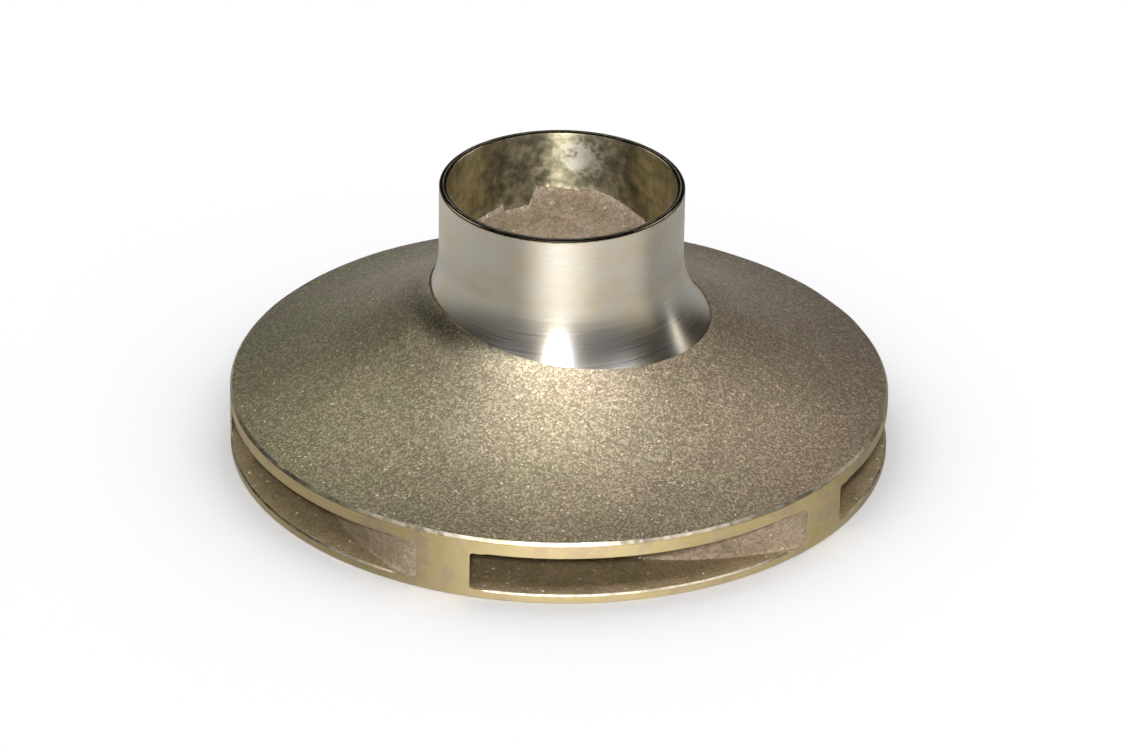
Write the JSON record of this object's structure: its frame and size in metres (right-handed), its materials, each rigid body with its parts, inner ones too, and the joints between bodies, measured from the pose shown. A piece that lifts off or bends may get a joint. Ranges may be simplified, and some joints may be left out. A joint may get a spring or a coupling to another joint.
{
  "type": "circulator pump impeller",
  "caption": "Closed bronze impeller for a small circulating pump, with a long turned suction neck, backward-curved vanes between two shrouds and a keyed hub.",
  "frame": {"origin": "on the shaft axis, in the plane of the turned back face that the part stands on", "axes": "+Z along the shaft axis from the back face to the suction neck's end, -Y towards the viewer of the picture"},
  "size_m": [0.1334, 0.1334, 0.0576],
  "materials": {
    "turned_bronze": "fine turned bronze",
    "cast_bronze": "sand cast and blasted bronze",
    "faced_bronze": "faced bronze with turning rings",
    "passage_bronze": "as cast bronze"
  },
  "bodies": {
    "root": {"suction_neck": "turned_bronze", "front_shroud": "cast_bronze", "back_shroud": "faced_bronze", "hub": "faced_bronze", "vane_1": "passage_bronze", "vane_2": "passage_bronze", "vane_3": "passage_bronze", "vane_4": "passage_bronze", "vane_5": "passage_bronze"}
  },
  "joints": []
}
